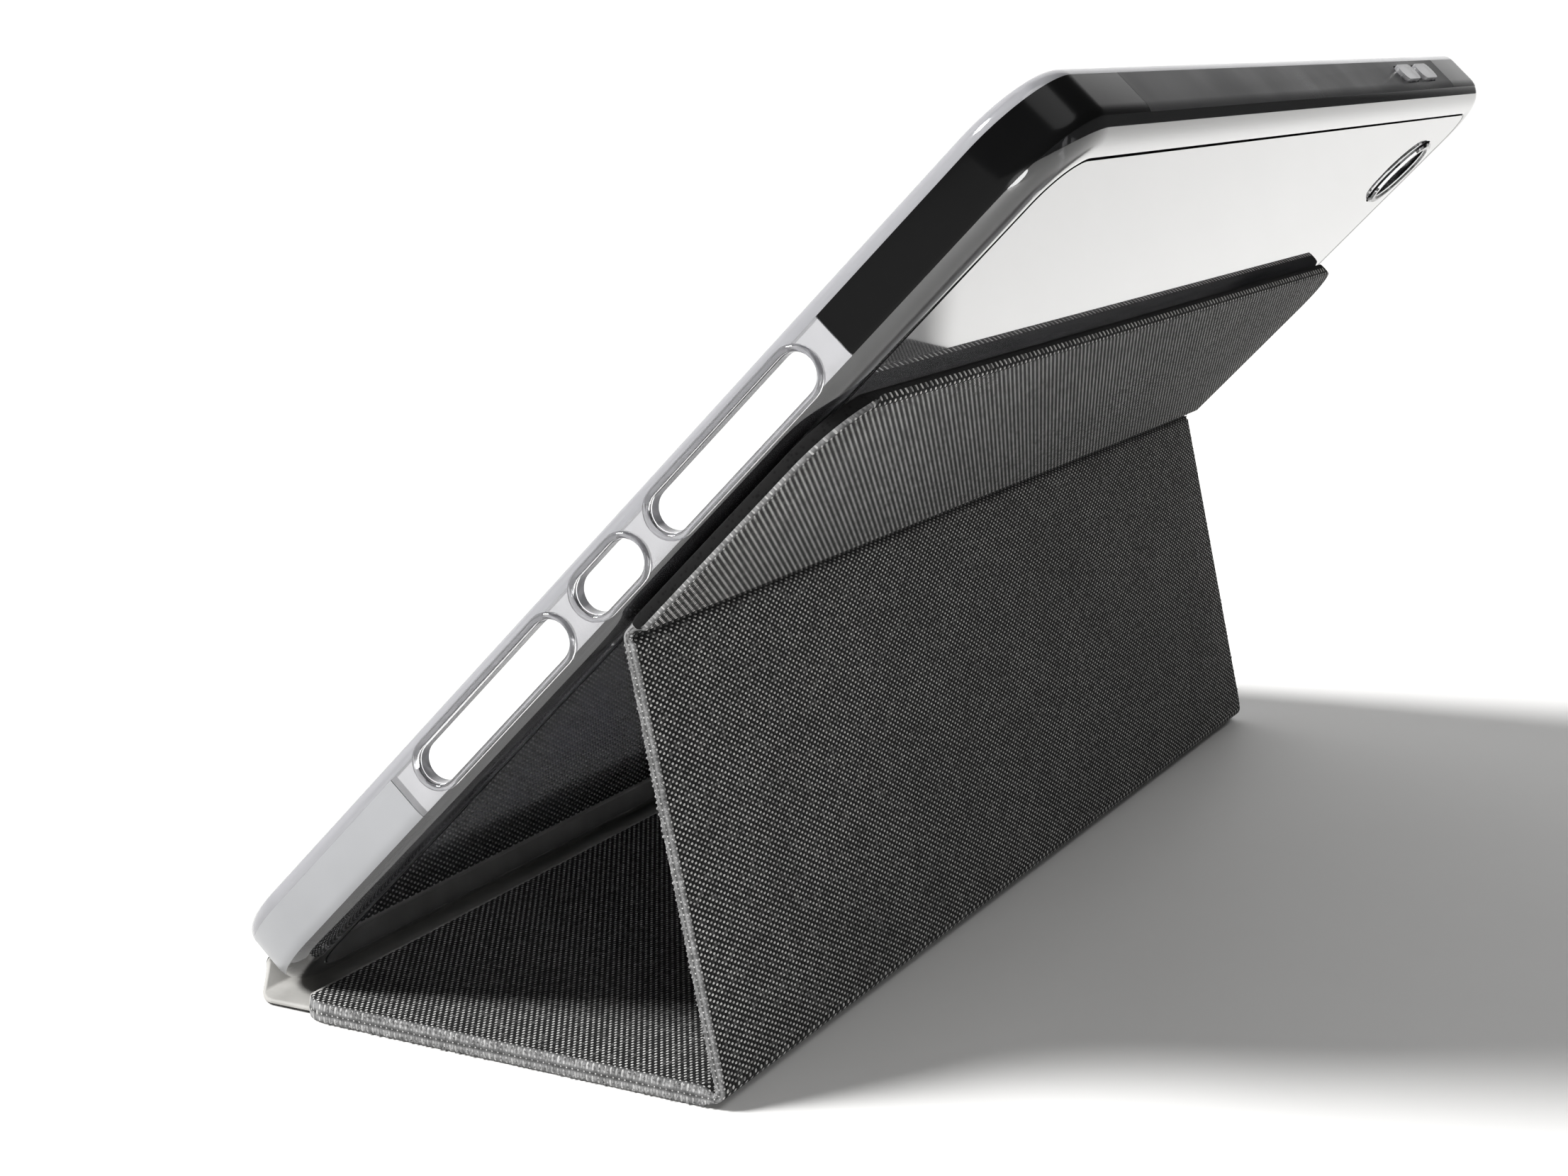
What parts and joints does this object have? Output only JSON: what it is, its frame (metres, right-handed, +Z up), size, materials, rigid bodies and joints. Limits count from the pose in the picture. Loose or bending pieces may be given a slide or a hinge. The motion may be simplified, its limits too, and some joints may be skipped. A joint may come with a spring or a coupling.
{
  "type": "folding tablet case",
  "caption": "Clear shell with cushioned corners for a tablet, with a folding woven cover that makes a triangular stand behind it.",
  "frame": {"origin": "middle of the bounding box in X and Y, on the table", "axes": "+X along the long side towards the port end, +Y towards the rear of the stand, +Z up"},
  "size_m": [0.259, 0.1236, 0.143],
  "materials": {
    "clear_plastic": "clear, polished",
    "clear_rubber": "clear, slightly frosted, glossy",
    "smoked_rubber": "smoked translucent grey, glossy",
    "woven_cloth": "coarse charcoal and white woven cloth",
    "black_suede": "black microfibre with a fine dotted texture",
    "pale_skin": "thin pale grey skin, matt",
    "stiff_board": "stiff grey board inside the leaves",
    "magnet_steel": "plated magnet bars inside the dock leaf"
  },
  "bodies": {
    "shell": {"back_plate": "clear_plastic", "port_side_rail": "clear_rubber", "upper_rail": "clear_rubber", "far_side_rail": "clear_rubber", "spine_side_rail": "clear_rubber", "spine_anchor_strip": "pale_skin", "camera_rim": "clear_plastic", "corner_cushion_port_upper": "smoked_rubber", "corner_cushion_far_upper": "smoked_rubber", "corner_cushion_far_lower": "smoked_rubber", "corner_cushion_port_lower": "smoked_rubber"},
    "power_button": {"power_button_pad": "clear_rubber"},
    "volume_up_button": {"volume_up_pad": "clear_rubber"},
    "volume_down_button": {"volume_down_pad": "clear_rubber"},
    "spine": {"spine_lower_cloth": "woven_cloth", "spine_upper_skin": "pale_skin", "spine_fold_roll": "pale_skin"},
    "base": {"base_inner_cloth": "woven_cloth", "base_board": "stiff_board", "base_outer_cloth": "woven_cloth", "base_fold_roll": "woven_cloth"},
    "rear": {"rear_inner_cloth": "woven_cloth", "rear_board": "stiff_board", "rear_outer_cloth": "woven_cloth", "rear_fold_roll": "woven_cloth"},
    "dock": {"dock_inner_cloth": "woven_cloth", "dock_board": "stiff_board", "dock_suede_backing": "black_suede", "dock_fold_roll": "woven_cloth", "dock_magnet_1": "magnet_steel", "dock_magnet_2": "magnet_steel", "dock_magnet_3": "magnet_steel", "dock_magnet_4": "magnet_steel"}
  },
  "joints": [
    {"name": "spine_hinge", "type": "hinge", "parent": "shell", "child": "spine", "pos_m": [0, -0.05829, 0.00181], "axis": [1, 0, 0], "range_deg": [-191.98, 0]},
    {"name": "base_hinge", "type": "hinge", "parent": "spine", "child": "base", "pos_m": [0, -0.04978, 0.0006], "axis": [1, 0, 0], "range_deg": [-119.22, 0]},
    {"name": "rear_fold", "type": "hinge", "parent": "base", "child": "rear", "pos_m": [0, 0.02112, 0.0016], "axis": [1, 0, 0], "range_deg": [-105.2, 0]},
    {"name": "dock_fold", "type": "hinge", "parent": "rear", "child": "dock", "pos_m": [0, 0.00393, 0.06449], "axis": [1, 0, 0], "range_deg": [0, 56.3]},
    {"name": "power_press", "type": "slide", "parent": "shell", "child": "power_button", "axis": [1, 0, 0], "range_m": [0, 0.0004], "stiffness_N_per_m": 800},
    {"name": "volume_up_press", "type": "slide", "parent": "shell", "child": "volume_up_button", "axis": [0, -0.6521, -0.7581], "range_m": [0, 0.0004], "stiffness_N_per_m": 800},
    {"name": "volume_down_press", "type": "slide", "parent": "shell", "child": "volume_down_button", "axis": [0, -0.6521, -0.7581], "range_m": [0, 0.0004], "stiffness_N_per_m": 800}
  ],
  "couplings": [
    {"joint": "base_hinge", "follows": "spine_hinge", "ratio": 0.6184},
    {"joint": "dock_fold", "follows": "rear_fold", "ratio": -0.5318}
  ]
}
